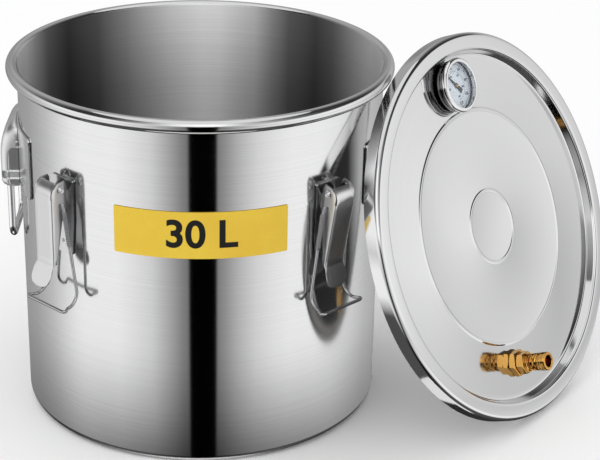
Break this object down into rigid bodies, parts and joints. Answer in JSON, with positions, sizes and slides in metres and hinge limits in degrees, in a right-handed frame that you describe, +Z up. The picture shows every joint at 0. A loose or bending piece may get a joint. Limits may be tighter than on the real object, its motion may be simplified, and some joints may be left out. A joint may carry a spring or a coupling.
{
  "type": "lidded stainless steel pot with toggle latches",
  "caption": "Tall brushed stainless steel pot with wire-bail toggle latches, drop ring handles, and a loose dished lid with dial thermometer and brass hose fitting.",
  "frame": {"origin": "centre of the pot's underside, where it stands on the floor", "axes": "+Z up along the pot's axis, -Y is the pot's front with the label, +X points to the right-hand drop handle, on the side where the lid leans"},
  "size_m": [0.5946, 0.36, 0.3501],
  "materials": {
    "brushed_pot": "fine horizontal brushing, bright",
    "lid_steel": "near-mirror pressed sheet with light circular brushing",
    "polished_steel": "polished stainless steel",
    "stamped_steel": "plain stamped stainless sheet",
    "wire_steel": "drawn wire, semi-bright",
    "brass": "machined, bright",
    "silicone": "milky silicone, matte",
    "label": "yellow vinyl, satin",
    "lens_glass": "clear flat glass",
    "dial_face": "pale printed dial, satin",
    "pointer_paint": "dark grey, satin"
  },
  "bodies": {
    "pot": {"pot_shell": "brushed_pot", "pot_label": "label", "handle_plate_left": "stamped_steel", "handle_cover_left": "polished_steel", "handle_plate_right": "stamped_steel", "handle_cover_right": "polished_steel", "latch_bracket_front_left": "stamped_steel", "latch_pin_front_left": "polished_steel", "latch_bracket_front_right": "stamped_steel", "latch_pin_front_right": "polished_steel", "latch_bracket_rear_right": "stamped_steel", "latch_pin_rear_right": "polished_steel", "latch_bracket_rear_left": "stamped_steel", "latch_pin_rear_left": "polished_steel"},
    "lid": {"lid_pan": "lid_steel", "lid_gasket": "silicone", "fitting_body": "brass", "fitting_lock_nut": "brass", "fitting_seal": "silicone", "fitting_back_nut": "brass", "gauge_case": "polished_steel", "gauge_bezel": "polished_steel", "gauge_lens": "lens_glass", "gauge_dial": "dial_face", "gauge_stem": "polished_steel", "gauge_seal": "silicone", "gauge_back_nut": "brass"},
    "gauge_pointer": {"gauge_pointer": "pointer_paint"},
    "lever_front_left": {"latch_lever_front_left": "polished_steel"},
    "bail_front_left": {"bail_wire_front_left": "wire_steel", "bail_spring_a_front_left": "wire_steel", "bail_spring_b_front_left": "wire_steel"},
    "lever_front_right": {"latch_lever_front_right": "polished_steel"},
    "bail_front_right": {"bail_wire_front_right": "wire_steel", "bail_spring_a_front_right": "wire_steel", "bail_spring_b_front_right": "wire_steel"},
    "lever_rear_right": {"latch_lever_rear_right": "polished_steel"},
    "bail_rear_right": {"bail_wire_rear_right": "wire_steel", "bail_spring_a_rear_right": "wire_steel", "bail_spring_b_rear_right": "wire_steel"},
    "lever_rear_left": {"latch_lever_rear_left": "polished_steel"},
    "bail_rear_left": {"bail_wire_rear_left": "wire_steel", "bail_spring_a_rear_left": "wire_steel", "bail_spring_b_rear_left": "wire_steel"},
    "ring_left": {"handle_ring_left": "polished_steel"},
    "ring_right": {"handle_ring_right": "polished_steel"}
  },
  "joints": [
    {"name": "lid_lift", "type": "slide", "parent": "pot", "child": "lid", "axis": [0, 0, 1], "range_m": [0, 0.35]},
    {"name": "gauge_needle", "type": "hinge", "parent": "lid", "child": "gauge_pointer", "pos_m": [0.23942, 0.00376, 0.30842], "axis": [-0.7386, 0.5622, -0.372], "range_deg": [-53, 217]},
    {"name": "lever_front_left_pivot", "type": "hinge", "parent": "pot", "child": "lever_front_left", "pos_m": [-0.12569, -0.13245, 0.2567], "axis": [-0.7254, 0.6884, 0], "range_deg": [0, 100]},
    {"name": "bail_front_left_pivot", "type": "hinge", "parent": "lever_front_left", "child": "bail_front_left", "pos_m": [-0.12569, -0.13245, 0.2435], "axis": [-0.7254, 0.6884, 0], "range_deg": [0, 80]},
    {"name": "lever_front_right_pivot", "type": "hinge", "parent": "pot", "child": "lever_front_right", "pos_m": [0.12569, -0.13245, 0.2567], "axis": [-0.7254, -0.6884, 0], "range_deg": [0, 14]},
    {"name": "bail_front_right_pivot", "type": "hinge", "parent": "lever_front_right", "child": "bail_front_right", "pos_m": [0.12412, -0.13079, 0.2437], "axis": [-0.7254, -0.6884, 0], "range_deg": [0, 14]},
    {"name": "lever_rear_right_pivot", "type": "hinge", "parent": "pot", "child": "lever_rear_right", "pos_m": [0.12569, 0.13245, 0.2567], "axis": [0.7254, -0.6884, 0], "range_deg": [0, 100]},
    {"name": "bail_rear_right_pivot", "type": "hinge", "parent": "lever_rear_right", "child": "bail_rear_right", "pos_m": [0.12412, 0.13079, 0.2437], "axis": [0.7254, -0.6884, 0], "range_deg": [0, 80]},
    {"name": "lever_rear_left_pivot", "type": "hinge", "parent": "pot", "child": "lever_rear_left", "pos_m": [-0.12569, 0.13245, 0.2567], "axis": [0.7254, 0.6884, 0], "range_deg": [0, 100]},
    {"name": "bail_rear_left_pivot", "type": "hinge", "parent": "lever_rear_left", "child": "bail_rear_left", "pos_m": [-0.12412, 0.13079, 0.2437], "axis": [0.7254, 0.6884, 0], "range_deg": [0, 80]},
    {"name": "ring_left_hinge", "type": "hinge", "parent": "pot", "child": "ring_left", "pos_m": [-0.1772, 0, 0.222], "axis": [0, 1, 0], "range_deg": [0, 95]},
    {"name": "ring_right_hinge", "type": "hinge", "parent": "pot", "child": "ring_right", "pos_m": [0.1772, 0, 0.222], "axis": [0, -1, 0], "range_deg": [0, 70]}
  ]
}
